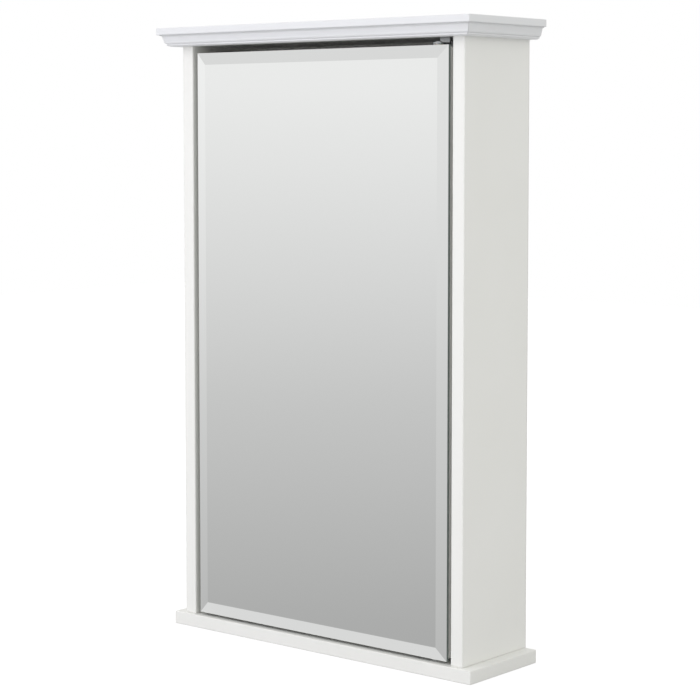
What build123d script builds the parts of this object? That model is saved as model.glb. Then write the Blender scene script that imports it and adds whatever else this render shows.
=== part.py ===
from build123d import *
import os

# A surface-mounted medicine cabinet with one bevelled mirror door, in millimetres.
# X runs to the right, Y to the wall and Z up. The origin is the middle of the
# cabinet's outline at the underside of its base.

# Carcass
cabinet_height = 660
body_width = 384
body_depth = 109
side_thickness = 15
top_thickness = 12
base_thickness = 14
base_side_overhang = 13
base_front_overhang = 4.5
base_arris = 1.0
side_arris = 0.9

# Back and mounting rails
back_thickness = 3
rabbet_width = 7.5
back_clearance = 0.5
rail_thickness = 12
rail_height = 45
wall_hole_radius = 2.75
wall_hole_spacing = 280

# Crown: a flat cap over a moulding with a lip, a cove, a sloping band, an ovolo and a splayed bead
crown_side_overhang = 20.5
crown_front_overhang = 21
cap_thickness = 7.5
cap_arris = 0.8
moulding_height = 12.4
moulding_reach = 18
lip_height = 0.6
cove_radius = 2.4
band_drop = 3.8
band_run = 1.1
ovolo_radius = 3.0
bead_step = 0.8
bead_splay_drop = 1.2
bead_splay_run = 3.0

# Door
door_side_gap = 6
door_bottom_gap = 3
door_top_gap = 8
glass_proud = 0.5
glass_thickness = 5
glass_edge = 3.2
bevel_width = 12.7
tape_thickness = 1
tape_width = 25
tape_strips = 3
tape_end_margin = 30
panel_thickness = 12
panel_end_margin = 2
panel_side_margin = 1
panel_arris = 0.6

# Shelves and their pins
shelf_thickness = 12
shelf_depth = 71
shelf_end_clearance = 2
shelf_back_clearance = 0.5
shelf_arris = 0.6
pin_hole_radius = 2.5
pin_hole_depth = 9
pin_hole_pitch = 32
pin_hole_rows = 3
pin_setback = 14
shelf_pin_clearance = 0.05
shelf_pin_depth = 8
collar_radius = 4
collar_thickness = 1.2
seat_radius = 3.5
seat_length = 8
seat_rise = 1.5

# Pivot hinges
pivot_inset = 20
pivot_pin_radius = 2.5
running_clearance = 0.05
plate_thickness = 1.5
plate_width = 12
plate_length = 50
plate_screw_spacing = 16
plate_screw_setback = 8
crank_reach = 10
rivet_rim = 1.0
rivet_height = 0.8
leaf_thickness = 1.5
leaf_width = 11
leaf_length = 38
leaf_screw_spacing = 12
leaf_screw_setback = 7
bush_flange_radius = 5.5
bush_sleeve_radius = 4
bush_depth = 8
bush_clearance = 0.05
axial_clearance = 0.1
pin_end_clearance = 0.5

# Magnetic catch
catch_height = 18
catch_depth = 15
catch_block_length = 30
catch_flange_length = 46
catch_flange_thickness = 3
catch_screw_spacing = 38
magnet_centre = 10
magnet_width = 8
magnet_depth = 12
magnet_length = 24
magnet_proud = 1
magnet_clearance = 0.1
catch_gap = 0.2
strike_thickness = 1
strike_width = 14
strike_length = 38
strike_margin = 1

# Dowels and screws: a screw's head is twice as wide as its shank
dowel_chamfer = 0.6
dowel_clearance = 0.05
base_dowel_radius = 3
base_dowel_length = 25
base_dowel_seat = 10
top_dowel_radius = 2.5
top_dowel_length = 24
top_dowel_seat = 9
screw_clearance = 0.1
screw_tip = 3
base_screw_radius = 2.0
base_screw_length = 45
top_screw_radius = 1.8
top_screw_length = 40
end_screw_margin = 22
dowel_from_screw = 12
cap_screw_radius = 1.6
cap_screw_length = 17
cap_screw_spacing_x = 240
cap_screw_spacing_y = 60
rail_screw_radius = 1.6
rail_screw_length = 13
rail_screw_count = 3
rail_screw_spacing = 105
hinge_screw_radius = 1.5
hinge_screw_length = 11
catch_screw_length = 12
strike_screw_length = 9
panel_pin_radius = 0.8
panel_pin_length = 14
panel_pin_tip = 1
side_pin_count = 5
side_pin_end_margin = 40
top_pin_count = 3
top_pin_end_margin = 27

# Planes that the boards meet at
back_y = (body_depth + crown_front_overhang) / 2
front_y = back_y - body_depth
back_front_y = back_y - back_thickness
outer_x = body_width / 2
inner_x = outer_x - side_thickness
side_centre_x = outer_x - side_thickness / 2
carcass_top = cabinet_height - cap_thickness
carcass_middle_z = (base_thickness + carcass_top) / 2
top_underside = carcass_top - top_thickness
top_centre_z = carcass_top - top_thickness / 2
rail_front_y = back_front_y - rail_thickness
lower_rail_z = base_thickness + rail_height / 2
upper_rail_z = top_underside - rail_height / 2
body_middle_y = (front_y + back_y) / 2

# Door planes, from the glass face back
door_width = 2 * (inner_x - door_side_gap)
door_bottom = base_thickness + door_bottom_gap
door_top = top_underside - door_top_gap
door_height = door_top - door_bottom
door_middle_z = (door_top + door_bottom) / 2
glass_front_y = front_y - glass_proud
glass_back_y = glass_front_y + glass_thickness
panel_front_y = glass_back_y + tape_thickness
panel_back_y = panel_front_y + panel_thickness
panel_width = door_width - 2 * panel_side_margin
panel_bottom = door_bottom + panel_end_margin
panel_top = door_top - panel_end_margin
panel_height = panel_top - panel_bottom

# The line the door turns on
pivot_x = door_width / 2 - pivot_inset
pivot_y = (panel_front_y + panel_back_y) / 2

# Shelves divide the inside into three equal bays
bay_height = (top_underside - base_thickness - 2 * shelf_thickness) / 3
lower_shelf_z = base_thickness + bay_height
upper_shelf_z = lower_shelf_z + shelf_thickness + bay_height
shelf_back_y = back_front_y - shelf_back_clearance
shelf_front_y = shelf_back_y - shelf_depth
shelf_centre_y = (shelf_front_y + shelf_back_y) / 2
shelf_pin_ys = [shelf_front_y + pin_setback, shelf_back_y - pin_setback]
shelf_pin_zs = [lower_shelf_z - seat_rise, upper_shelf_z - seat_rise]

# Hinge seats: the base and the top panel carry the plates, the panel's ends the leaves
flange_thickness = (
    door_bottom_gap + panel_end_margin - plate_thickness - leaf_thickness - axial_clearance
)
limb_bottom = panel_top + leaf_thickness + flange_thickness + axial_clearance
limb_top = limb_bottom + plate_thickness
crank_y = pivot_y + crank_reach
plate_front_y = pivot_y - plate_width / 2
plate_rear_y = plate_front_y + plate_length
plate_centre_y = (plate_front_y + plate_rear_y) / 2
plate_screw_ys = [
    plate_rear_y - plate_screw_setback - plate_screw_spacing,
    plate_rear_y - plate_screw_setback,
]
panel_top_end = Plane((pivot_x, pivot_y, panel_top), x_dir=(1, 0, 0), z_dir=(0, 0, 1))
panel_bottom_end = Plane((pivot_x, pivot_y, panel_bottom), x_dir=(1, 0, 0), z_dir=(0, 0, -1))
leaf_centre_x = (leaf_width - leaf_length) / 2
leaf_screw_xs = [
    leaf_width / 2 - leaf_length + leaf_screw_setback,
    leaf_width / 2 - leaf_length + leaf_screw_setback + leaf_screw_spacing,
]

# Catch planes
strike_back_y = panel_back_y + strike_thickness
strike_x = strike_margin + (strike_width - panel_width) / 2
pole_y = strike_back_y + catch_gap
catch_front_y = pole_y + magnet_proud
catch_centre_y = catch_front_y + catch_depth / 2
magnet_x = magnet_centre - inner_x
catch_z = door_middle_z

# Each corner joint has two screws, and two dowels between them
end_screw_ys = [front_y + end_screw_margin, back_front_y - end_screw_margin]
end_dowel_ys = [end_screw_ys[0] + dowel_from_screw, end_screw_ys[1] - dowel_from_screw]

# Where each screw's head sits: a screw points along its plane's -Z
base_screw_places = [
    Plane((x, y, 0), z_dir=(0, 0, -1)) for x in (-side_centre_x, side_centre_x) for y in end_screw_ys
]
top_screw_places = [
    Plane((side * outer_x, y, top_centre_z), z_dir=(side, 0, 0)) for side in (-1, 1) for y in end_screw_ys
]
cap_screw_places = [
    Plane((x, body_middle_y + y, top_underside), z_dir=(0, 0, -1))
    for x in (-cap_screw_spacing_x / 2, cap_screw_spacing_x / 2)
    for y in (-cap_screw_spacing_y / 2, cap_screw_spacing_y / 2)
]
rail_screw_xs = [
    (index - (rail_screw_count - 1) / 2) * rail_screw_spacing for index in range(rail_screw_count)
]
rail_screw_places = [
    Plane((x, back_y, z), z_dir=(0, 1, 0)) for x in rail_screw_xs for z in (lower_rail_z, upper_rail_z)
]
bottom_plate_screw_places = [
    Plane((pivot_x, y, base_thickness + plate_thickness), z_dir=(0, 0, 1)) for y in plate_screw_ys
]
top_plate_screw_places = [
    Plane((pivot_x, y, top_underside - plate_thickness), z_dir=(0, 0, -1)) for y in plate_screw_ys
]
leaf_screw_places = [Location((x, 0, leaf_thickness)) for x in leaf_screw_xs]
catch_screw_places = [
    Plane((catch_flange_thickness - inner_x, catch_centre_y, catch_z + offset), z_dir=(1, 0, 0))
    for offset in (-catch_screw_spacing / 2, catch_screw_spacing / 2)
]
strike_screw_place = Plane((strike_x, strike_back_y, catch_z), z_dir=(0, 1, 0))
side_pin_pitch = (carcass_top - base_thickness - 2 * side_pin_end_margin) / (side_pin_count - 1)
side_pin_zs = [
    base_thickness + side_pin_end_margin + index * side_pin_pitch for index in range(side_pin_count)
]
top_pin_pitch = 2 * (inner_x - top_pin_end_margin) / (top_pin_count - 1)
top_pin_xs = [top_pin_end_margin - inner_x + index * top_pin_pitch for index in range(top_pin_count)]
side_pin_x = inner_x + rabbet_width / 2
panel_pin_places = [
    Plane((side * side_pin_x, back_y, z), z_dir=(0, 1, 0)) for side in (-1, 1) for z in side_pin_zs
] + [Plane((x, back_y, top_centre_z), z_dir=(0, 1, 0)) for x in top_pin_xs]

# Dowels: each lies along its plane's Z, centred on the origin
base_dowel_z = base_thickness - base_dowel_seat + base_dowel_length / 2
top_dowel_x = inner_x + top_dowel_seat - top_dowel_length / 2
base_dowel_places = [
    Plane((x, y, base_dowel_z), z_dir=(0, 0, 1))
    for x in (-side_centre_x, side_centre_x)
    for y in end_dowel_ys
]
top_dowel_places = [
    Plane((x, y, top_centre_z), z_dir=(1, 0, 0)) for x in (-top_dowel_x, top_dowel_x) for y in end_dowel_ys
]


def screw(radius, length, tip=screw_tip, recess=True):
    """Countersunk screw: its head's face is on the local XY plane and its point is below."""
    with BuildPart() as blank:
        with BuildSketch(Plane.XZ):
            with BuildLine():
                Polyline(
                    (0, 0),
                    (2 * radius, 0),
                    (radius, -radius),
                    (radius, tip - length),
                    (0, -length),
                    close=True,
                )
            make_face()
        revolve(axis=Axis.Z)
        if recess:
            Box(2 * radius, radius / 2, radius, mode=Mode.SUBTRACT)
            Box(radius / 2, 2 * radius, radius, mode=Mode.SUBTRACT)
    return blank.part


def drill(places, radius, length):
    """Cut the clearance of countersunk screws out of the board being built."""
    with Locations(*places):
        CounterSinkHole(
            radius + screw_clearance,
            2 * radius + screw_clearance,
            length + screw_clearance,
            counter_sink_angle=90,
        )


def dowel(radius, length):
    """Fluted dowel as a plain rod with both ends chamfered, along local Z."""
    with BuildPart() as rod:
        Cylinder(radius, length)
        chamfer(rod.edges().filter_by(GeomType.CIRCLE), dowel_chamfer)
    return rod.part


def drill_for_dowels(places, radius, length):
    """Cut the holes of dowels out of the board being built."""
    with Locations(*places):
        Cylinder(radius + dowel_clearance, length + 2 * dowel_clearance, mode=Mode.SUBTRACT)


os.makedirs("parts", exist_ok=True)


# Base board, back edge flush with the body

with BuildPart() as base_panel:
    with BuildSketch():
        with Locations((0, (front_y - base_front_overhang + back_y) / 2)):
            Rectangle(body_width + 2 * base_side_overhang, body_depth + base_front_overhang)
    extrude(amount=base_thickness)
    front_and_side_edges = base_panel.edges().filter_by(lambda edge: edge.center().Y < back_front_y)
    fillet(front_and_side_edges, radius=base_arris)
    drill(base_screw_places, base_screw_radius, base_screw_length)
    drill(bottom_plate_screw_places, hinge_screw_radius, hinge_screw_length)
    drill_for_dowels(base_dowel_places, base_dowel_radius, base_dowel_length)

base_panel.part.label = "base_panel"
export_step(base_panel.part, "parts/base_panel.step")


# Side panels, each with a rabbet for the back and three pin holes a row for each shelf

with BuildPart() as side_panel_right:
    with BuildSketch(Plane.XY.offset(base_thickness)):
        with BuildLine():
            Polyline(
                (inner_x, front_y),
                (outer_x, front_y),
                (outer_x, back_y),
                (inner_x + rabbet_width, back_y),
                (inner_x + rabbet_width, back_front_y),
                (inner_x, back_front_y),
                close=True,
            )
        make_face()
    extrude(amount=carcass_top - base_thickness)
    front_edges = side_panel_right.edges().filter_by(Axis.Z).group_by(Axis.Y)[0]
    fillet(front_edges, radius=side_arris)
    with BuildSketch(Plane.YZ.offset(inner_x)):
        with Locations(*[(y, z) for y in shelf_pin_ys for z in shelf_pin_zs]):
            with GridLocations(0, pin_hole_pitch, 1, pin_hole_rows):
                Circle(pin_hole_radius)
    extrude(amount=pin_hole_depth, mode=Mode.SUBTRACT)
    drill(base_screw_places, base_screw_radius, base_screw_length)
    drill(top_screw_places, top_screw_radius, top_screw_length)
    drill(panel_pin_places, panel_pin_radius, panel_pin_length)
    drill_for_dowels(base_dowel_places, base_dowel_radius, base_dowel_length)
    drill_for_dowels(top_dowel_places, top_dowel_radius, top_dowel_length)

side_panel_right.part.label = "side_panel_right"
export_step(side_panel_right.part, "parts/side_panel_right.step")

with BuildPart() as side_panel_left:
    mirror(side_panel_right.part, about=Plane.YZ)
    drill(catch_screw_places, hinge_screw_radius, catch_screw_length)

side_panel_left.part.label = "side_panel_left"
export_step(side_panel_left.part, "parts/side_panel_left.step")


# Top panel between the sides, short of the back

with BuildPart() as top_panel:
    with BuildSketch(Plane.XY.offset(top_underside)):
        with Locations((0, (front_y + back_front_y) / 2)):
            Rectangle(2 * inner_x, back_front_y - front_y)
    extrude(amount=top_thickness)
    drill(top_screw_places, top_screw_radius, top_screw_length)
    drill(cap_screw_places, cap_screw_radius, cap_screw_length)
    drill(top_plate_screw_places, hinge_screw_radius, hinge_screw_length)
    drill(panel_pin_places, panel_pin_radius, panel_pin_length)
    drill_for_dowels(top_dowel_places, top_dowel_radius, top_dowel_length)

top_panel.part.label = "top_panel"
export_step(top_panel.part, "parts/top_panel.step")


# Crown cap over the whole cabinet

with BuildPart() as crown_cap:
    with BuildSketch(Plane.XY.offset(carcass_top)):
        with Locations((0, (front_y - crown_front_overhang + back_y) / 2)):
            Rectangle(body_width + 2 * crown_side_overhang, body_depth + crown_front_overhang)
    extrude(amount=cap_thickness)
    exposed_edges = crown_cap.edges().filter_by(lambda edge: edge.center().Y < back_front_y)
    fillet(exposed_edges, radius=cap_arris)
    drill(cap_screw_places, cap_screw_radius, cap_screw_length)

crown_cap.part.label = "crown_cap"
export_step(crown_cap.part, "parts/crown_cap.step")


# Section of the crown moulding: local x is out from the body, local y is up from the cap

band_x = moulding_reach - cove_radius - band_run
band_y = -lip_height - cove_radius - band_drop
bead_x = band_x - ovolo_radius + bead_step
bead_y = band_y - ovolo_radius

with BuildSketch() as moulding_section:
    with BuildLine():
        Polyline((0, 0), (moulding_reach, 0), (moulding_reach, -lip_height))
        CenterArc((moulding_reach, -lip_height - cove_radius), cove_radius, 90, 90)
        Line((moulding_reach - cove_radius, -lip_height - cove_radius), (band_x, band_y))
        CenterArc((band_x - ovolo_radius, band_y), ovolo_radius, 0, -90)
        Polyline(
            (band_x - ovolo_radius, bead_y),
            (bead_x, bead_y),
            (bead_x, -moulding_height + bead_splay_drop),
            (bead_x - bead_splay_run, -moulding_height),
            (0, -moulding_height),
            (0, 0),
        )
    make_face()


# Crown moulding: one front length and two returns, mitred at the front corners

right_mitre = Plane((outer_x, front_y, carcass_top), z_dir=(1, 1, 0))
left_mitre = Plane((-outer_x, front_y, carcass_top), z_dir=(-1, 1, 0))
front_run = Plane((outer_x + moulding_reach, front_y, carcass_top), x_dir=(0, -1, 0), z_dir=(-1, 0, 0))
side_run = Plane((outer_x, back_y, carcass_top), x_dir=(1, 0, 0), z_dir=(0, -1, 0))

with BuildPart() as crown_moulding_front:
    with BuildSketch(front_run):
        add(moulding_section.sketch)
    extrude(amount=body_width + 2 * moulding_reach)
    split(bisect_by=right_mitre, keep=Keep.BOTTOM)
    split(bisect_by=left_mitre, keep=Keep.BOTTOM)

crown_moulding_front.part.label = "crown_moulding_front"
export_step(crown_moulding_front.part, "parts/crown_moulding_front.step")

with BuildPart() as crown_moulding_right:
    with BuildSketch(side_run):
        add(moulding_section.sketch)
    extrude(amount=body_depth + moulding_reach)
    split(bisect_by=right_mitre, keep=Keep.TOP)

crown_moulding_right.part.label = "crown_moulding_right"
export_step(crown_moulding_right.part, "parts/crown_moulding_right.step")

with BuildPart() as crown_moulding_left:
    mirror(crown_moulding_right.part, about=Plane.YZ)

crown_moulding_left.part.label = "crown_moulding_left"
export_step(crown_moulding_left.part, "parts/crown_moulding_left.step")


# Hardboard back in the rabbets, from the base to the cap

with BuildPart() as back_panel:
    with BuildSketch(Plane.XZ.offset(-back_front_y)):
        with Locations((0, carcass_middle_z)):
            Rectangle(2 * (inner_x + rabbet_width - back_clearance), carcass_top - base_thickness)
        with Locations((0, lower_rail_z), (0, upper_rail_z)):
            with GridLocations(wall_hole_spacing, 0, 2, 1):
                Circle(wall_hole_radius, mode=Mode.SUBTRACT)
    extrude(amount=-back_thickness)
    drill(rail_screw_places, rail_screw_radius, rail_screw_length)
    drill(panel_pin_places, panel_pin_radius, panel_pin_length)

back_panel.part.label = "back_panel"
export_step(back_panel.part, "parts/back_panel.step")


# Mounting rails inside the back, with two wall holes each

for rail_name, rail_z in (("mounting_rail_lower", lower_rail_z), ("mounting_rail_upper", upper_rail_z)):
    with BuildPart() as mounting_rail:
        with BuildSketch(Plane.XZ.offset(-rail_front_y)):
            with Locations((0, rail_z)):
                Rectangle(2 * inner_x, rail_height)
                with GridLocations(wall_hole_spacing, 0, 2, 1):
                    Circle(wall_hole_radius, mode=Mode.SUBTRACT)
        extrude(amount=-rail_thickness)
        drill(rail_screw_places, rail_screw_radius, rail_screw_length)
    mounting_rail.part.label = rail_name
    export_step(mounting_rail.part, f"parts/{rail_name}.step")


# Loose shelves, set back so that the door's hinged edge can swing in past them

for shelf_name, shelf_z in (("shelf_lower", lower_shelf_z), ("shelf_upper", upper_shelf_z)):
    with BuildPart() as shelf:
        with BuildSketch(Plane.XY.offset(shelf_z)):
            with Locations((0, shelf_centre_y)):
                Rectangle(2 * (inner_x - shelf_end_clearance), shelf_depth)
        extrude(amount=shelf_thickness)
        fillet(shelf.edges().filter_by(Axis.X).group_by(Axis.Y)[0], radius=shelf_arris)
    shelf.part.label = shelf_name
    export_step(shelf.part, f"parts/{shelf_name}.step")


# Shelf pin along local X: the shank is in the side panel, a flat-topped seat holds the shelf up

with BuildPart() as right_shelf_pin:
    with BuildSketch(Plane.YZ):
        Circle(pin_hole_radius - shelf_pin_clearance)
    extrude(amount=shelf_pin_depth)
    with BuildSketch(Plane.YZ):
        Circle(collar_radius)
    extrude(amount=-collar_thickness)
    with BuildSketch(Plane.YZ.offset(-collar_thickness)):
        Circle(seat_radius)
    extrude(amount=-seat_length)
    with BuildSketch(Plane.YZ.offset(-collar_thickness)):
        with Locations((0, seat_rise)):
            Rectangle(2 * seat_radius, seat_radius, align=(Align.CENTER, Align.MIN))
    extrude(amount=-seat_length, mode=Mode.SUBTRACT)

left_shelf_pin = mirror(right_shelf_pin.part, about=Plane.YZ)

with BuildPart() as shelf_pins:
    with Locations(*[(inner_x, y, z) for y in shelf_pin_ys for z in shelf_pin_zs]):
        add(right_shelf_pin.part)
    with Locations(*[(-inner_x, y, z) for y in shelf_pin_ys for z in shelf_pin_zs]):
        add(left_shelf_pin)

shelf_pins.part.label = "shelf_pins"
export_step(shelf_pins.part, "parts/shelf_pins.step")


# Dowels and screws of the carcass, one group for each size

fastener_groups = {
    "base_dowels": (dowel(base_dowel_radius, base_dowel_length), base_dowel_places),
    "top_dowels": (dowel(top_dowel_radius, top_dowel_length), top_dowel_places),
    "base_screws": (screw(base_screw_radius, base_screw_length), base_screw_places),
    "top_screws": (screw(top_screw_radius, top_screw_length), top_screw_places),
    "cap_screws": (screw(cap_screw_radius, cap_screw_length), cap_screw_places),
    "rail_screws": (screw(rail_screw_radius, rail_screw_length), rail_screw_places),
    "back_panel_pins": (
        screw(panel_pin_radius, panel_pin_length, tip=panel_pin_tip, recess=False),
        panel_pin_places,
    ),
    "hinge_plate_screws": (
        screw(hinge_screw_radius, hinge_screw_length),
        bottom_plate_screw_places + top_plate_screw_places,
    ),
    "catch_screws": (screw(hinge_screw_radius, catch_screw_length), catch_screw_places),
    "strike_screw": (screw(hinge_screw_radius, strike_screw_length), [strike_screw_place]),
}

for group_name, (fastener, places) in fastener_groups.items():
    with BuildPart() as group:
        with Locations(*places):
            add(fastener)
    group.part.label = group_name
    export_step(group.part, f"parts/{group_name}.step")


# Lower hinge plate: flat on the base, with its pin standing up into the door

with BuildPart() as hinge_plate_bottom:
    with BuildSketch(Plane.XY.offset(base_thickness)):
        with Locations((pivot_x, plate_centre_y)):
            SlotOverall(plate_length, plate_width, rotation=90)
    extrude(amount=plate_thickness)
    with BuildSketch(Plane.XY.offset(base_thickness)):
        with Locations((pivot_x, pivot_y)):
            Circle(pivot_pin_radius)
    extrude(amount=panel_bottom - base_thickness + bush_depth - pin_end_clearance)
    drill(bottom_plate_screw_places, hinge_screw_radius, hinge_screw_length)

hinge_plate_bottom.part.label = "hinge_plate_bottom"
export_step(hinge_plate_bottom.part, "parts/hinge_plate_bottom.step")


# Upper hinge plate: cranked down from the top panel to reach the door, with a riveted pin

with BuildPart() as hinge_plate_top:
    with BuildSketch(Plane.YZ.offset(pivot_x - plate_width / 2)):
        with BuildLine():
            Polyline(
                (plate_front_y, limb_bottom),
                (crank_y + plate_thickness, limb_bottom),
                (crank_y + plate_thickness, top_underside - plate_thickness),
                (plate_rear_y, top_underside - plate_thickness),
                (plate_rear_y, top_underside),
                (crank_y, top_underside),
                (crank_y, limb_top),
                (plate_front_y, limb_top),
                close=True,
            )
        make_face()
    extrude(amount=plate_width)
    with BuildSketch(Plane.XY.offset(limb_bottom)):
        with Locations((pivot_x, plate_centre_y)):
            SlotOverall(plate_length, plate_width, rotation=90)
    extrude(amount=top_underside - limb_bottom, mode=Mode.INTERSECT)
    with BuildSketch(Plane.XY.offset(limb_top)):
        with Locations((pivot_x, pivot_y)):
            Circle(pivot_pin_radius)
    extrude(amount=panel_top - bush_depth + pin_end_clearance - limb_top)
    with BuildSketch(Plane.XY.offset(limb_top)):
        with Locations((pivot_x, pivot_y)):
            Circle(pivot_pin_radius + rivet_rim)
    extrude(amount=rivet_height)
    drill(top_plate_screw_places, hinge_screw_radius, hinge_screw_length)

hinge_plate_top.part.label = "hinge_plate_top"
export_step(hinge_plate_top.part, "parts/hinge_plate_top.step")


# Catch housing on the left side panel, with a pocket for the magnet

with BuildPart() as catch_housing:
    with BuildSketch(Plane.YZ.offset(-inner_x)):
        with Locations((catch_centre_y, catch_z)):
            Rectangle(catch_depth, catch_flange_length)
    extrude(amount=catch_flange_thickness)
    with BuildSketch(Plane.YZ.offset(-inner_x)):
        with Locations((catch_centre_y, catch_z)):
            Rectangle(catch_depth, catch_block_length)
    extrude(amount=catch_height)
    with BuildSketch(Plane.XZ.offset(-catch_front_y)):
        with Locations((magnet_x, catch_z)):
            Rectangle(magnet_width + 2 * magnet_clearance, magnet_length + 2 * magnet_clearance)
    extrude(amount=-(magnet_depth - magnet_proud), mode=Mode.SUBTRACT)
    drill(catch_screw_places, hinge_screw_radius, catch_screw_length)

catch_housing.part.label = "catch_housing"
export_step(catch_housing.part, "parts/catch_housing.step")


# Magnet with its steel pole plates, a little proud of the housing

with BuildPart() as catch_magnet:
    with BuildSketch(Plane.XZ.offset(-pole_y)):
        with Locations((magnet_x, catch_z)):
            Rectangle(magnet_width, magnet_length)
    extrude(amount=-magnet_depth)

catch_magnet.part.label = "catch_magnet"
export_step(catch_magnet.part, "parts/catch_magnet.step")


# Mirror: a flat sheet whose front edges are ground back to a bevel

with BuildPart() as mirror_glass:
    with BuildSketch(Plane.XZ.offset(-glass_back_y)):
        with Locations((0, door_middle_z)):
            Rectangle(door_width, door_height)
    extrude(amount=glass_edge)
    with BuildSketch(Plane.XZ.offset(glass_edge - glass_back_y)):
        with Locations((0, door_middle_z)):
            Rectangle(door_width, door_height)
    with BuildSketch(Plane.XZ.offset(-glass_front_y)):
        with Locations((0, door_middle_z)):
            Rectangle(door_width - 2 * bevel_width, door_height - 2 * bevel_width)
    loft()

mirror_glass.part.label = "mirror_glass"
export_step(mirror_glass.part, "parts/mirror_glass.step")


# Strips of mounting tape between the mirror and the door panel

with BuildPart() as mirror_tape:
    with BuildSketch(Plane.XZ.offset(-panel_front_y)):
        with Locations((0, door_middle_z)):
            with GridLocations((panel_width - 2 * tape_width) / (tape_strips - 1), 0, tape_strips, 1):
                Rectangle(tape_width, panel_height - 2 * tape_end_margin)
    extrude(amount=tape_thickness)

mirror_tape.part.label = "mirror_tape"
export_step(mirror_tape.part, "parts/mirror_tape.step")


# Door panel, with a blind hole in each end for a bush

with BuildPart() as door_panel:
    with BuildSketch(Plane.XZ.offset(-panel_back_y)):
        with Locations((0, door_middle_z)):
            Rectangle(panel_width, panel_height)
    extrude(amount=panel_thickness)
    fillet(door_panel.edges(), radius=panel_arris)
    with Locations(panel_top_end, panel_bottom_end):
        Hole(bush_sleeve_radius + bush_clearance, depth=bush_depth + pin_end_clearance)
        drill(leaf_screw_places, hinge_screw_radius, hinge_screw_length)
    drill([strike_screw_place], hinge_screw_radius, strike_screw_length)

door_panel.part.label = "door_panel"
export_step(door_panel.part, "parts/door_panel.step")


# Hinge leaf in its own frame: the pivot is the origin and the panel's end is the XY plane

with BuildPart() as hinge_leaf:
    with BuildSketch():
        with Locations((leaf_centre_x, 0)):
            SlotOverall(leaf_length, leaf_width)
        Circle(bush_sleeve_radius + bush_clearance, mode=Mode.SUBTRACT)
    extrude(amount=leaf_thickness)
    drill(leaf_screw_places, hinge_screw_radius, hinge_screw_length)

for leaf_name, panel_end in (("hinge_leaf_top", panel_top_end), ("hinge_leaf_bottom", panel_bottom_end)):
    with BuildPart() as placed_leaf:
        with Locations(panel_end):
            add(hinge_leaf.part)
    placed_leaf.part.label = leaf_name
    export_step(placed_leaf.part, f"parts/{leaf_name}.step")

leaf_screw = screw(hinge_screw_radius, hinge_screw_length)

with BuildPart() as hinge_leaf_screws:
    with Locations(panel_top_end, panel_bottom_end):
        with Locations(*leaf_screw_places):
            add(leaf_screw)

hinge_leaf_screws.part.label = "hinge_leaf_screws"
export_step(hinge_leaf_screws.part, "parts/hinge_leaf_screws.step")


# Flanged nylon bush in the same frame: the flange keeps the leaf off the plate

with BuildPart() as hinge_bush:
    with BuildSketch(Plane.XZ):
        with BuildLine():
            Polyline(
                (pivot_pin_radius + running_clearance, -bush_depth),
                (bush_sleeve_radius, -bush_depth),
                (bush_sleeve_radius, leaf_thickness),
                (bush_flange_radius, leaf_thickness),
                (bush_flange_radius, leaf_thickness + flange_thickness),
                (pivot_pin_radius + running_clearance, leaf_thickness + flange_thickness),
                close=True,
            )
        make_face()
    revolve(axis=Axis.Z)

with BuildPart() as hinge_bushes:
    with Locations(panel_top_end, panel_bottom_end):
        add(hinge_bush.part)

hinge_bushes.part.label = "hinge_bushes"
export_step(hinge_bushes.part, "parts/hinge_bushes.step")


# Strike plate on the door's back, facing the magnet

with BuildPart() as strike_plate:
    with BuildSketch(Plane.XZ.offset(-strike_back_y)):
        with Locations((strike_x, catch_z)):
            RectangleRounded(strike_width, strike_length, strike_thickness)
    extrude(amount=strike_thickness)
    drill([strike_screw_place], hinge_screw_radius, strike_screw_length)

strike_plate.part.label = "strike_plate"
export_step(strike_plate.part, "parts/strike_plate.step")
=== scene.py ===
# %% [markdown]
# # A medicine cabinet with a bevelled mirror door
#
# The object is a shallow white cabinet that hangs on a bathroom wall. It has a moulded crown, a base
# board that stands out past the body, and one tall mirror door. Its solids come ready made from the
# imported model, so this lesson is about finishes: each solid gets the surface that the real piece has, and
# then a plain studio is built round it. Everything is in metres, with Z up, the wall behind at +Y and the
# mirror facing -Y.

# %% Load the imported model
import math

import bpy
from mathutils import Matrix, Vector

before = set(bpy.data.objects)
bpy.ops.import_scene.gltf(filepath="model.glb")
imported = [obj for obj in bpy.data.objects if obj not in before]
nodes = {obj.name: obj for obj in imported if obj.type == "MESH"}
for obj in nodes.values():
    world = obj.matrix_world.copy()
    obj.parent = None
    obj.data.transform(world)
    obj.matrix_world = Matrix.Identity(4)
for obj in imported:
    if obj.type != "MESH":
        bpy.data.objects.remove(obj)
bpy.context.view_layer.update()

# %% [markdown]
# ## Colour and nodes
#
# A real object's colours are easiest to write as sRGB hex codes, as on a paint chart, but a shader works
# in linear light. One function turns the first into the second.


# %% A linear colour from a hex code
def linear(code):
    """The linear colour of an sRGB hex code, with alpha 1."""
    parts = [int(code[i : i + 2], 16) / 255 for i in (1, 3, 5)]
    return [c / 12.92 if c <= 0.04045 else ((c + 0.055) / 1.055) ** 2.4 for c in parts] + [1.0]


print("mid grey:", [round(c, 3) for c in linear("#808080")])

# %% [markdown]
# A finish is a small graph of nodes. One helper adds a node: its settings are keywords, and its sockets
# are a dictionary, where a plain value sets the socket and another node's output is linked to it. Some
# nodes have several sockets of one name, so a socket may also be given by its number, as in the Mix
# node's case below. A pattern's scale is its repeats in a metre, which a second helper gets from the real
# size in millimetres.

# %% Adding a node
FACTOR, FIRST, SECOND, MIXED = 0, 6, 7, 2


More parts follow.
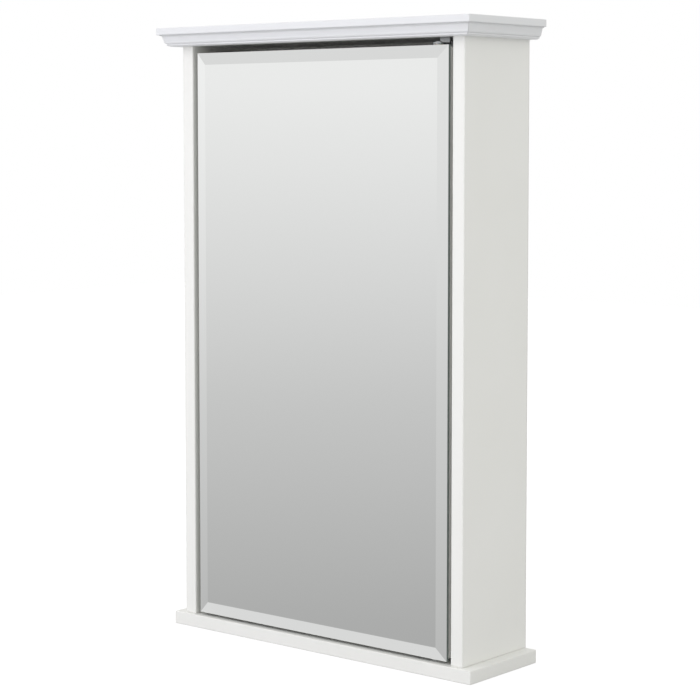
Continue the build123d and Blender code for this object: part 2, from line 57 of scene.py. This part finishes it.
def add(tree, kind, sockets=None, **settings):
    """Add a node to the tree, with its settings and what goes into its sockets."""
    made = tree.nodes.new("ShaderNode" + kind)
    for name, value in settings.items():
        setattr(made, name, value)
    for name, value in (sockets or {}).items():
        if isinstance(value, bpy.types.NodeSocket):
            tree.links.new(value, made.inputs[name])
        else:
            made.inputs[name].default_value = value
    return made


def per_metre(size_mm):
    """The scale of a pattern whose features are this many millimetres apart."""
    return 1000 / size_mm


print("a 2 mm pattern repeats", per_metre(2), "times in a metre")


# %% Starting a finish, and putting it on solids
def new_finish(name):
    """A material with its nodes, its shader and the place on the object that its patterns follow."""
    finish = bpy.data.materials.new(name)
    finish.use_nodes = True
    tree = finish.node_tree
    return finish, tree, tree.nodes["Principled BSDF"], add(tree, "TexCoord").outputs["Object"]


def give(finish, *names):
    """Put the finish on these solids."""
    for name in names:
        for slot in nodes[name].material_slots:
            slot.material = finish
    print(finish.name, "on", ", ".join(names))


# %% [markdown]
# ## White lacquer on fibreboard
#
# Most of what shows is medium density fibreboard, primed and sprayed with a satin white lacquer. Sprayed
# lacquer isn't perfectly flat: it dries with a faint orange peel about two millimetres across, and its
# white and its gloss drift a little over a hand's width. It pulls thin over sharp edges, so the arrises
# get slightly creamier with handling. Inner corners and narrow gaps get a painted shade, a darker tone
# that also stands for a trace of dust there. Two noises give the first two. The Bevel node compares each
# point's normal with a rounded one, which finds the edges, and Ambient Occlusion finds the corners and
# gaps for the painted shade. The side panels' long edges were eased with sandpaper before spraying, so
# they are rounded three times as much as the rest.

# %% The lacquer's sizes and amounts
PEEL_MM = 2.2
PEEL_HEIGHT = 0.00002
MOTTLE_MM = 90
WEAR_MM = 14
ARRIS = 0.0008
EASED_ARRIS = 0.0025
CORNER = 0.005
FLAT, TURNED = 0.995, 0.85
RUB_STARTS, RUB_FULL, MOST_WEAR = 0.48, 0.7, 0.4
# How far Ambient Occlusion darkens the lacquer in corners and gaps: a painted shade, with a trace of dust.
OPEN_AIR, DEEP_NOOK, MOST_DUST_AND_SHADE = 0.6, 0.1, 0.35


# %% A lacquer finish
def lacquer(name, white, drifted, worn, dust_and_shade, roughness, arris=ARRIS):
    """Sprayed satin lacquer: a soft even white, a blurred sheen and a fine light line on each arris."""
    finish, tree, shader, place = new_finish(name)
    drift = add(tree, "TexNoise", {"Vector": place, "Scale": per_metre(MOTTLE_MM), "Detail": 3.0})
    coat = add(
        tree,
        "Mix",
        {FACTOR: drift.outputs["Fac"], FIRST: linear(white), SECOND: linear(drifted)},
        data_type="RGBA",
    )

    rounded = add(tree, "Bevel", {"Radius": arris}, samples=4)
    at_edge = add(tree, "Bevel", {"Radius": ARRIS}, samples=4)
    surface = add(tree, "NewGeometry")
    alike = add(
        tree,
        "VectorMath",
        {0: at_edge.outputs["Normal"], 1: surface.outputs["Normal"]},
        operation="DOT_PRODUCT",
    )
    edge = add(
        tree,
        "MapRange",
        {"Value": alike.outputs["Value"], "From Min": FLAT, "From Max": TURNED, "To Min": 0.0, "To Max": 1.0},
    )
    rub = add(
        tree, "TexNoise", {"Vector": place, "Scale": per_metre(WEAR_MM), "Detail": 4.0, "Roughness": 0.6}
    )
    rubbed = add(
        tree,
        "MapRange",
        {
            "Value": rub.outputs["Fac"],
            "From Min": RUB_STARTS,
            "From Max": RUB_FULL,
            "To Min": 0.0,
            "To Max": MOST_WEAR,
        },
    )
    wear = add(tree, "Math", {0: edge.outputs["Result"], 1: rubbed.outputs["Result"]}, operation="MULTIPLY")
    handled = add(
        tree,
        "Mix",
        {FACTOR: wear.outputs["Value"], FIRST: coat.outputs[MIXED], SECOND: linear(worn)},
        data_type="RGBA",
    )

    # Painted shade: where Ambient Occlusion finds a corner or a narrow gap, the coat is darkened towards the
    # dust colour, which stands for shade there as well as for a trace of dust.
    nook = add(tree, "AmbientOcclusion", {"Distance": CORNER}, samples=6)
    nook_dust_and_shade = add(
        tree,
        "MapRange",
        {
            "Value": nook.outputs["AO"],
            "From Min": OPEN_AIR,
            "From Max": DEEP_NOOK,
            "To Min": 0.0,
            "To Max": MOST_DUST_AND_SHADE,
        },
    )
    coat_with_dust_and_shade = add(
        tree,
        "Mix",
        {FACTOR: nook_dust_and_shade.outputs["Result"], FIRST: handled.outputs[MIXED], SECOND: linear(dust_and_shade)},
        data_type="RGBA",
    )
    tree.links.new(coat_with_dust_and_shade.outputs[MIXED], shader.inputs["Base Color"])

    gloss = add(
        tree,
        "MapRange",
        {
            "Value": drift.outputs["Fac"],
            "From Min": 0.3,
            "From Max": 0.7,
            "To Min": roughness - 0.04,
            "To Max": roughness + 0.05,
        },
    )
    tree.links.new(gloss.outputs["Result"], shader.inputs["Roughness"])
    peel = add(tree, "TexNoise", {"Vector": place, "Scale": per_metre(PEEL_MM), "Detail": 2.0})
    skin = add(
        tree,
        "Bump",
        {
            "Height": peel.outputs["Fac"],
            "Distance": PEEL_HEIGHT,
            "Strength": 1.0,
            "Normal": rounded.outputs["Normal"],
        },
    )
    tree.links.new(skin.outputs["Normal"], shader.inputs["Normal"])
    return finish


print("peel", PEEL_MM, "mm, drift", MOTTLE_MM, "mm")

# %% The carcass
# Each lacquer's fifth colour is the painted shade in its corners and gaps, with a trace of dust. The inside
# pieces and the door's board get a darker one.
carcass_lacquer = lacquer(
    "satin_lacquer_carcass", "#F0F0ED", "#ECECE8", "#DDD6C8", "#D2CEC4", 0.42, arris=EASED_ARRIS
)
give(carcass_lacquer, "side_panel_left", "side_panel_right", "top_panel")

# %% The base board
base_lacquer = lacquer("satin_lacquer_base", "#EEEEEB", "#EAEAE6", "#D9D1C2", "#C9C5BB", 0.44)
give(base_lacquer, "base_panel")

# %% The crown, sprayed on profiled mouldings
crown_lacquer = lacquer("satin_lacquer_crown", "#E6E7E9", "#E2E3E5", "#DCD6CA", "#DAD9D6", 0.4)
give(crown_lacquer, "crown_cap", "crown_moulding_front", "crown_moulding_left", "crown_moulding_right")

# %% Inside pieces, sprayed thinner
inner_lacquer = lacquer("satin_lacquer_inside", "#ECECE8", "#E6E6E0", "#D6CEBE", "#B2ADA0", 0.5)
give(inner_lacquer, "shelf_lower", "shelf_upper", "mounting_rail_lower", "mounting_rail_upper")

# %% The door's board behind the mirror
door_lacquer = lacquer("satin_lacquer_door", "#EEEEEA", "#E9E9E4", "#D8D0C2", "#B4AFA3", 0.46)
give(door_lacquer, "door_panel")

# %% [markdown]
# ## The mirror
#
# The door's face is 5 mm float glass, silvered on its back, with a bevel ground round its front. What
# reaches the eye is nearly all the silver's reflection, so the front and the bevel are a metal with
# hardly any roughness. The rim was ground and polished, and there the eye looks into the glass sideways
# and sees its dark grey-green. The back has a coat of grey paint that protects the silver. The three are
# told apart by which way the surface faces: the rim faces sideways, up or down, and the back faces the
# wall.

# %% Silvered glass
GLASS_RIM = "#737D79"
BACKING = "#7C8083"
SMUDGE_MM = 45
ASLANT, SQUARE_ON = 0.5, 0.6
CLEAN, SMUDGED = 0.01, 0.035
RIM_ROUGHNESS = 0.3

mirror, tree, shader, place = new_finish("silvered_float_glass")
facing = add(tree, "SeparateXYZ", {"Vector": add(tree, "TexCoord").outputs["Normal"]})
front = add(
    tree,
    "MapRange",
    {"Value": facing.outputs["Y"], "From Min": -ASLANT, "From Max": -SQUARE_ON, "To Min": 0.0, "To Max": 1.0},
)
back = add(
    tree,
    "MapRange",
    {"Value": facing.outputs["Y"], "From Min": ASLANT, "From Max": SQUARE_ON, "To Min": 0.0, "To Max": 1.0},
)
rim_or_back = add(
    tree,
    "Mix",
    {FACTOR: back.outputs["Result"], FIRST: linear(GLASS_RIM), SECOND: linear(BACKING)},
    data_type="RGBA",
)
silver = add(
    tree,
    "Mix",
    {FACTOR: front.outputs["Result"], FIRST: rim_or_back.outputs[MIXED], SECOND: linear("#F3F4F3")},
    data_type="RGBA",
)
tree.links.new(silver.outputs[MIXED], shader.inputs["Base Color"])
tree.links.new(front.outputs["Result"], shader.inputs["Metallic"])
smudge = add(tree, "TexNoise", {"Vector": place, "Scale": per_metre(SMUDGE_MM), "Detail": 5.0})
haze = add(
    tree,
    "MapRange",
    {"Value": smudge.outputs["Fac"], "From Min": 0.35, "From Max": 0.75, "To Min": CLEAN, "To Max": SMUDGED},
)
dull = add(
    tree,
    "Mix",
    {0: front.outputs["Result"], 2: RIM_ROUGHNESS, 3: haze.outputs["Result"]},
    data_type="FLOAT",
)
tree.links.new(dull.outputs[0], shader.inputs["Roughness"])
give(mirror, "mirror_glass")

# %% [markdown]
# ## Hardboard back
#
# The back is 3 mm hardboard: wood fibres pressed hot into a brown sheet, smooth and painted white on the
# side that faces into the cabinet and bare on the side that faces the wall. Bare hardboard shows short
# fibres in every direction, a darker fleck here and there, and a screen pattern from the press.

# %% Hardboard
FIBRE_MM = 3
FLECK_MM = 1.2
SCREEN_MM = 2.5
FIBRE_DEPTH = 0.0001
SCREEN_DEPTH = 0.00015

hardboard, tree, shader, place = new_finish("pressed_hardboard")
fibres = add(
    tree,
    "TexNoise",
    {"Vector": place, "Scale": per_metre(FIBRE_MM), "Detail": 6.0, "Roughness": 0.7, "Distortion": 1.5},
)
brown = add(
    tree,
    "Mix",
    {FACTOR: fibres.outputs["Fac"], FIRST: linear("#6F4E33"), SECOND: linear("#A37C55")},
    data_type="RGBA",
)
flecks = add(tree, "TexVoronoi", {"Vector": place, "Scale": per_metre(FLECK_MM)})
dark = add(
    tree,
    "MapRange",
    {"Value": flecks.outputs["Distance"], "From Min": 0.16, "From Max": 0.05, "To Min": 0.0, "To Max": 0.7},
)
flecked = add(
    tree,
    "Mix",
    {FACTOR: dark.outputs["Result"], FIRST: brown.outputs[MIXED], SECOND: linear("#4A3322")},
    data_type="RGBA",
)
facing = add(tree, "SeparateXYZ", {"Vector": add(tree, "TexCoord").outputs["Normal"]})
inward = add(
    tree,
    "MapRange",
    {"Value": facing.outputs["Y"], "From Min": -ASLANT, "From Max": -SQUARE_ON, "To Min": 0.0, "To Max": 1.0},
)
painted = add(
    tree,
    "Mix",
    {FACTOR: inward.outputs["Result"], FIRST: flecked.outputs[MIXED], SECOND: linear("#E8E8E3")},
    data_type="RGBA",
)
tree.links.new(painted.outputs[MIXED], shader.inputs["Base Color"])
screen = add(tree, "TexVoronoi", {"Vector": place, "Scale": per_metre(SCREEN_MM), "Randomness": 0.25})
pressed = add(tree, "Bump", {"Height": screen.outputs["Distance"], "Distance": SCREEN_DEPTH, "Strength": 0.6})
fibrous = add(
    tree,
    "Bump",
    {
        "Height": fibres.outputs["Fac"],
        "Distance": FIBRE_DEPTH,
        "Strength": 0.5,
        "Normal": pressed.outputs["Normal"],
    },
)
tree.links.new(fibrous.outputs["Normal"], shader.inputs["Normal"])
shader.inputs["Roughness"].default_value = 0.6
give(hardboard, "back_panel")

# %% [markdown]
# ## Steel
#
# The hinges and screws are mild steel with a thin coat of bright zinc, and the shelf pins are plated with
# nickel. A plated part keeps the marks of its making under the shine: rolled sheet has fine straight
# lines along the way it was rolled, a turned pin has rings, and zinc dries in soft cloudy patches. The
# lines are a noise that is stretched along one direction, a few tenths of a millimetre apart on the real
# part and drawn at half a millimetre so that they can show.

# %% Plated steel
LINES_MM = 0.5
CLOUD_MM = 6
STRETCHED = 0.04
BURR = 0.0002


def plated(name, bright, cloudy, roughness, lines_along, line_height):
    """Plated steel: a blurred metal shine that breaks up along fine lines and drifts in soft clouds."""
    finish, tree, shader, place = new_finish(name)
    stretch = [1.0, 1.0, 1.0]
    stretch[lines_along] = STRETCHED
    drawn = add(tree, "Mapping", {"Vector": place, "Scale": stretch})
    lines = add(
        tree, "TexNoise", {"Vector": drawn.outputs["Vector"], "Scale": per_metre(LINES_MM), "Detail": 2.0}
    )
    cloud = add(tree, "TexNoise", {"Vector": place, "Scale": per_metre(CLOUD_MM), "Detail": 3.0})
    metal = add(
        tree,
        "Mix",
        {FACTOR: cloud.outputs["Fac"], FIRST: linear(bright), SECOND: linear(cloudy)},
        data_type="RGBA",
    )
    tree.links.new(metal.outputs[MIXED], shader.inputs["Base Color"])
    shader.inputs["Metallic"].default_value = 1.0
    blur = add(
        tree,
        "MapRange",
        {
            "Value": lines.outputs["Fac"],
            "From Min": 0.3,
            "From Max": 0.7,
            "To Min": roughness - 0.06,
            "To Max": roughness + 0.08,
        },
    )
    tree.links.new(blur.outputs["Result"], shader.inputs["Roughness"])
    rounded = add(tree, "Bevel", {"Radius": BURR}, samples=4)
    ridges = add(
        tree,
        "Bump",
        {
            "Height": lines.outputs["Fac"],
            "Distance": line_height,
            "Strength": 0.6,
            "Normal": rounded.outputs["Normal"],
        },
    )
    tree.links.new(ridges.outputs["Normal"], shader.inputs["Normal"])
    return finish


# %% Hinges and catch
hinge_zinc = plated("bright_zinc_sheet", "#C9CBCC", "#B4B7B9", 0.3, 1, 0.00002)
give(
    hinge_zinc,
    "hinge_plate_top",
    "hinge_plate_bottom",
    "hinge_leaf_top",
    "hinge_leaf_bottom",
    "strike_plate",
)

# %% Screws
screw_zinc = plated("bright_zinc_screws", "#C3C2BC", "#A9A9A5", 0.34, 2, 0.00001)
give(
    screw_zinc,
    "base_screws",
    "top_screws",
    "cap_screws",
    "rail_screws",
    "hinge_plate_screws",
    "hinge_leaf_screws",
    "catch_screws",
    "strike_screw",
    "back_panel_pins",
)

# %% Shelf pins
pin_nickel = plated("nickel_plated_pins", "#CDC8BE", "#BDB8AF", 0.2, 0, 0.00001)
give(pin_nickel, "shelf_pins")

# %% The catch's magnet between its steel poles
pole_steel = plated("ground_pole_steel", "#8E8F90", "#747577", 0.42, 2, 0.00003)
give(pole_steel, "catch_magnet")

# %% [markdown]
# ## Plastics and tape
#
# The catch's body is moulded ABS with the fine spark texture of its mould. The hinge bushes are nylon,
# which is milky and lets light in a little way. The mirror is held to its board by foam tape, whose cut
# edge shows small cells.

# %% Moulded plastics and foam
FLOW_MM = 20
SPARK_MM = 0.7
CELL_MM = 0.8
CRYSTAL_MM = 1.5
SOFT_EDGE = 0.0004
SUNK_SHARE = 0.3


def moulded(name, colour, deeper, roughness, grain_mm, grain_height, depth):
    """Moulded plastic: an even colour with a fine matt grain, and light that sinks in by the given depth."""
    finish, tree, shader, place = new_finish(name)
    flow = add(tree, "TexNoise", {"Vector": place, "Scale": per_metre(FLOW_MM), "Detail": 2.0})
    body = add(
        tree,
        "Mix",
        {FACTOR: flow.outputs["Fac"], FIRST: linear(colour), SECOND: linear(deeper)},
        data_type="RGBA",
    )
    tree.links.new(body.outputs[MIXED], shader.inputs["Base Color"])
    shader.inputs["Roughness"].default_value = roughness
    if depth:
        shader.inputs["Subsurface Weight"].default_value = SUNK_SHARE
        shader.inputs["Subsurface Scale"].default_value = depth
    grain = add(tree, "TexVoronoi", {"Vector": place, "Scale": per_metre(grain_mm)})
    rounded = add(tree, "Bevel", {"Radius": SOFT_EDGE}, samples=4)
    skin = add(
        tree,
        "Bump",
        {
            "Height": grain.outputs["Distance"],
            "Distance": grain_height,
            "Strength": 0.7,
            "Normal": rounded.outputs["Normal"],
        },
    )
    tree.links.new(skin.outputs["Normal"], shader.inputs["Normal"])
    return finish


catch_plastic = moulded("moulded_abs", "#EDEDE8", "#E6E6E0", 0.38, SPARK_MM, 0.00002, 0)
give(catch_plastic, "catch_housing")
bush_nylon = moulded("natural_nylon", "#E6E2D6", "#DEDACD", 0.45, CRYSTAL_MM, 0.00001, 0.0015)
give(bush_nylon, "hinge_bushes")
tape_foam = moulded("polyethylene_foam", "#DCDCD8", "#CFCFCA", 0.85, CELL_MM, 0.00015, 0)
give(tape_foam, "mirror_tape")

# %% [markdown]
# ## Beech dowels
#
# The dowels are beech, which is pale pinkish brown with short darker flecks along the grain. They sit
# inside the joints and hardly ever show, so their grain is a plain stretched noise.

# %% Beech
GRAIN_MM = 1.5
GRAIN_STRETCHED = 0.12
GRAIN_DEPTH = 0.0001

beech, tree, shader, place = new_finish("turned_beech")
along = add(tree, "Mapping", {"Vector": place, "Scale": (1.0, 1.0, GRAIN_STRETCHED)})
grain = add(
    tree, "TexNoise", {"Vector": along.outputs["Vector"], "Scale": per_metre(GRAIN_MM), "Detail": 4.0}
)
wood = add(
    tree,
    "Mix",
    {FACTOR: grain.outputs["Fac"], FIRST: linear("#D6B48C"), SECOND: linear("#B58A5E")},
    data_type="RGBA",
)
tree.links.new(wood.outputs[MIXED], shader.inputs["Base Color"])
shader.inputs["Roughness"].default_value = 0.6
ribs = add(tree, "Bump", {"Height": grain.outputs["Fac"], "Distance": GRAIN_DEPTH, "Strength": 0.5})
tree.links.new(ribs.outputs["Normal"], shader.inputs["Normal"])
give(beech, "base_dowels", "top_dowels")

# %% [markdown]
# ## The studio
#
# The photograph was taken in a plain pale studio. The world does three jobs here, told apart by the kind
# of ray that reaches it. A ray from the camera sees plain white. A ray that was mirrored sees the studio
# that stands in front of the cabinet, which is a pale wall that gets darker towards the ground. All the
# rest is light, an even soft glow.

# %% The colours that the mirror sees, from straight down to straight up
GLOW = 0.844
GLOW_TINT = "#FFFFFD"
STUDIO = [
    (-90, "#D2D2D2"),
    (-23, "#E3E3E3"),
    (-18.5, "#C4C4C4"),
    (-15.5, "#B0B0B0"),
    (-13.4, "#B4B4B4"),
    (-10.7, "#C0C0C0"),
    (-7.4, "#CECECE"),
    (-4.1, "#DFDFDF"),
    (-0.8, "#EDEDED"),
    (1.5, "#F5F5F5"),
    (5, "#F6F6F6"),
    (11, "#E3E3E3"),
    (20, "#E0E0E0"),
    (50, "#EEEEEE"),
    (90, "#FFFFFF"),
]

world = bpy.data.worlds.new("studio")
bpy.context.scene.world = world
world.use_nodes = True
sky = world.node_tree
sky.nodes.clear()

toward = add(sky, "TexCoord").outputs["Generated"]
direction = add(sky, "SeparateXYZ", {"Vector": toward})
height = add(
    sky,
    "MapRange",
    {"Value": direction.outputs["Z"], "From Min": -1.0, "From Max": 1.0, "To Min": 0.0, "To Max": 1.0},
)
ramp = add(sky, "ValToRGB", {"Fac": height.outputs["Result"]})
stops = ramp.color_ramp.elements
stops[0].position, stops[0].color = 0.0, linear(STUDIO[0][1])
stops[1].position, stops[1].color = 1.0, linear(STUDIO[-1][1])
for degrees, code in STUDIO[1:-1]:
    stop = stops.new((math.sin(math.radians(degrees)) + 1) / 2)
    stop.color = linear(code)
print("studio stops:", len(stops))

# %% [markdown]
# The upright bevels are tilted, so they mirror what stands further to one side. In the photograph the
# left one is a little lighter than the wall between, and the right one is lighter near the ground and
# darker above. Each side of the studio therefore has a level of its own, which goes from its low value
# near the ground to its high value at eye height.

# %% A level for each side of the studio
TO_THE_RIGHT = (0.767, -0.641, 0.0)
SIDE_STARTS, SIDE_FULL = 0.12, 0.2
GROUND_SINE, EYE_SINE = -0.232, 0.026
SIDE_LEVELS = {-1: (1.145, 1.045), 1: (1.2, 0.91)}

aside = add(sky, "VectorMath", {0: toward, 1: TO_THE_RIGHT}, operation="DOT_PRODUCT")
level = None
for side, (low, high) in SIDE_LEVELS.items():
    part = add(
        sky,
        "MapRange",
        {
            "Value": aside.outputs["Value"],
            "From Min": side * SIDE_STARTS,
            "From Max": side * SIDE_FULL,
            "To Min": 0.0,
            "To Max": 1.0,
        },
    )
    there = add(
        sky,
        "MapRange",
        {
            "Value": direction.outputs["Z"],
            "From Min": GROUND_SINE,
            "From Max": EYE_SINE,
            "To Min": low,
            "To Max": high,
        },
    )
    before = level.outputs[0] if level else 1.0
    level = add(
        sky, "Mix", {0: part.outputs["Result"], 2: before, 3: there.outputs["Result"]}, data_type="FLOAT"
    )
print("levels:", SIDE_LEVELS)

# %% Which ray sees what
seen_by_mirror = add(sky, "Background", {"Color": ramp.outputs["Color"], "Strength": level.outputs[0]})
seen_by_camera = add(sky, "Background", {"Color": linear("#FFFFFF"), "Strength": 1.0})
soft_glow = add(sky, "Background", {"Color": linear(GLOW_TINT), "Strength": GLOW})
ray = add(sky, "LightPath")
lighting = add(
    sky,
    "MixShader",
    {0: ray.outputs["Is Glossy Ray"], 1: soft_glow.outputs[0], 2: seen_by_mirror.outputs[0]},
)
shown = add(
    sky,
    "MixShader",
    {0: ray.outputs["Is Camera Ray"], 1: lighting.outputs[0], 2: seen_by_camera.outputs[0]},
)
add(sky, "OutputWorld", {"Surface": shown.outputs[0]})
print("glow:", GLOW)

# %% [markdown]
# The floor is a wide pale sheet. To the camera it is white with only a faint shadow of the cabinet, which
# comes from adding a little plain diffuse white to a glow. Mirrored rays go through it to the studio's
# gradient.

# %% The floor
FLOOR_HALF = 4.0
FLOOR_DROP = 0.0003
FLOOR_GLOW = 0.9

sheet_mesh = bpy.data.meshes.new("floor")
corners = [(x * FLOOR_HALF, y * FLOOR_HALF, -FLOOR_DROP) for x, y in ((-1, -1), (1, -1), (1, 1), (-1, 1))]
sheet_mesh.from_pydata(corners, [], [(0, 1, 2, 3)])
floor = bpy.data.objects.new("floor", sheet_mesh)
bpy.context.scene.collection.objects.link(floor)

paper = bpy.data.materials.new("studio_paper")
paper.use_nodes = True
tree = paper.node_tree
tree.nodes.clear()
plain = add(tree, "BsdfDiffuse", {"Color": linear("#CFCFCF")})
faint = add(tree, "BsdfDiffuse", {"Color": linear("#7A7A7A")})
glow = add(tree, "Emission", {"Color": linear("#FFFFFF"), "Strength": FLOOR_GLOW})
clear = add(tree, "BsdfTransparent")
to_camera = add(tree, "AddShader", {0: faint.outputs[0], 1: glow.outputs[0]})
ray = add(tree, "LightPath")
by_camera = add(
    tree, "MixShader", {0: ray.outputs["Is Camera Ray"], 1: plain.outputs[0], 2: to_camera.outputs[0]}
)
mirrored = add(
    tree,
    "Math",
    {0: ray.outputs["Is Glossy Ray"], 1: ray.outputs["Is Transmission Ray"]},
    operation="MAXIMUM",
)
by_mirror = add(tree, "MixShader", {0: mirrored.outputs[0], 1: by_camera.outputs[0], 2: clear.outputs[0]})
add(tree, "OutputMaterial", {"Surface": by_mirror.outputs[0]})
sheet_mesh.materials.append(paper)
print("floor:", 2 * FLOOR_HALF, "m square")

# %% [markdown]
# ## The lamps
#
# A large soft box stands at the left and rather high, because the left edges are the lightest in the
# photograph. A lower one keeps the base as light as the crown, and a third lights the right side a
# little. All three are left out of reflections and out of the picture, so that the mirror shows only the
# studio.

# %% The lamps
MIDDLE = Vector((0, 0, 0.33))
LAMPS = {
    "soft_box": {"place": (-1.7, -2.6, 2.4), "size": 1.8, "watts": 25.9, "tint": "#F8F7FF"},
    "low_fill": {"place": (-0.5, -2.4, 0.6), "size": 1.0, "watts": 9.7, "tint": "#F2F1FF"},
    "side_fill": {"place": (1.7, -1.2, 1.1), "size": 0.8, "watts": 3.7, "tint": "#FDFFFB"},
}


def point_at(thing, target):
    """Turn a lamp or camera so that it looks at the target."""
    thing.rotation_euler = (target - thing.location).to_track_quat("-Z", "Y").to_euler()


for name, plan in LAMPS.items():
    light = bpy.data.lights.new(name, "AREA")
    light.size = plan["size"]
    light.energy = plan["watts"]
    light.color = linear(plan["tint"])[:3]
    lamp = bpy.data.objects.new(name, light)
    lamp.location = plan["place"]
    lamp.visible_glossy = False
    lamp.visible_camera = False
    point_at(lamp, MIDDLE)
    bpy.context.scene.collection.objects.link(lamp)
    print(name, plan["size"], "m wide,", round((MIDDLE - lamp.location).length, 2), "m away")

# %% [markdown]
# ## The camera
#
# The camera stands to the right of the cabinet and above its middle, at the place that a fit to the
# corners of the photograph gives. Its long lens makes the upright edges run almost parallel.

# %% The camera
LENS = 105.76
PLACE = Vector((1.3974, -1.6615, 0.5430))
TURN = math.radians(39.88)
TILT = math.radians(4.298)
SHIFT = -0.085

view = bpy.data.cameras.new("camera")
view.lens = LENS
view.shift_y = SHIFT
view.clip_end = 50
camera = bpy.data.objects.new("camera", view)
camera.location = PLACE
camera.rotation_euler = (math.pi / 2 - TILT, 0, TURN)
bpy.context.scene.collection.objects.link(camera)
bpy.context.scene.camera = camera
bpy.context.scene.view_settings.view_transform = "Standard"
print("lens", LENS, "mm, tilted down", round(math.degrees(TILT), 1), "degrees")
